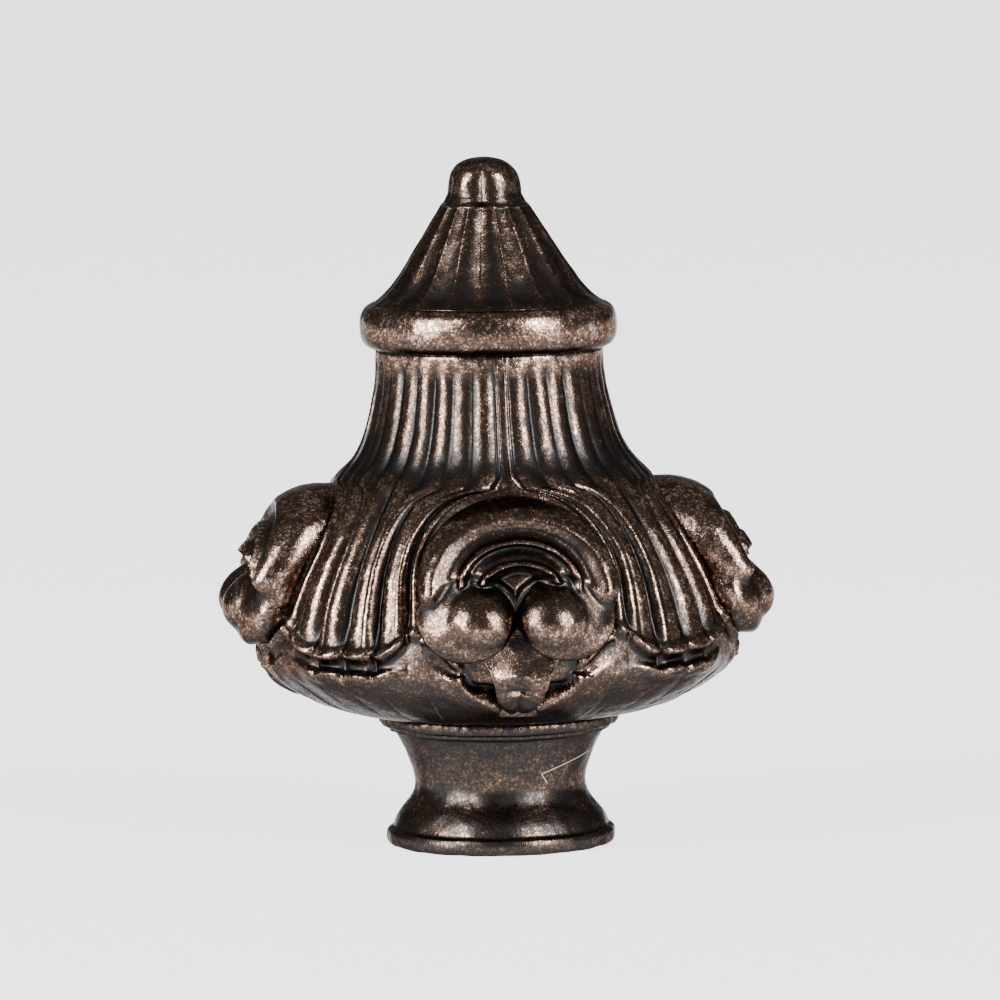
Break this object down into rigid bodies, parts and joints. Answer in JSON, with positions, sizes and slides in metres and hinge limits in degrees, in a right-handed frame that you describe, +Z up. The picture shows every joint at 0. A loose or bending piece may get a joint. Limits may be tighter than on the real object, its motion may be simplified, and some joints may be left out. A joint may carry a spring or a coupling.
{
  "type": "cast metal lamp finial",
  "caption": "Small cast metal finial: fluted cap and bead over a reeded, waisted body with scroll cartouches, on a turned foot with a screw socket.",
  "frame": {"origin": "middle of the foot's flat underside, on the axis", "axes": "+Z up the axis to the knob; -Y towards the front scroll cartouche; +X to the right seen from there"},
  "size_m": [0.0406, 0.0406, 0.051],
  "materials": {
    "antique_bronze": "dark oil-rubbed bronze, mottled and glossy, with coppery wear on the crests"
  },
  "bodies": {
    "root": {"finial": "antique_bronze"}
  },
  "joints": []
}
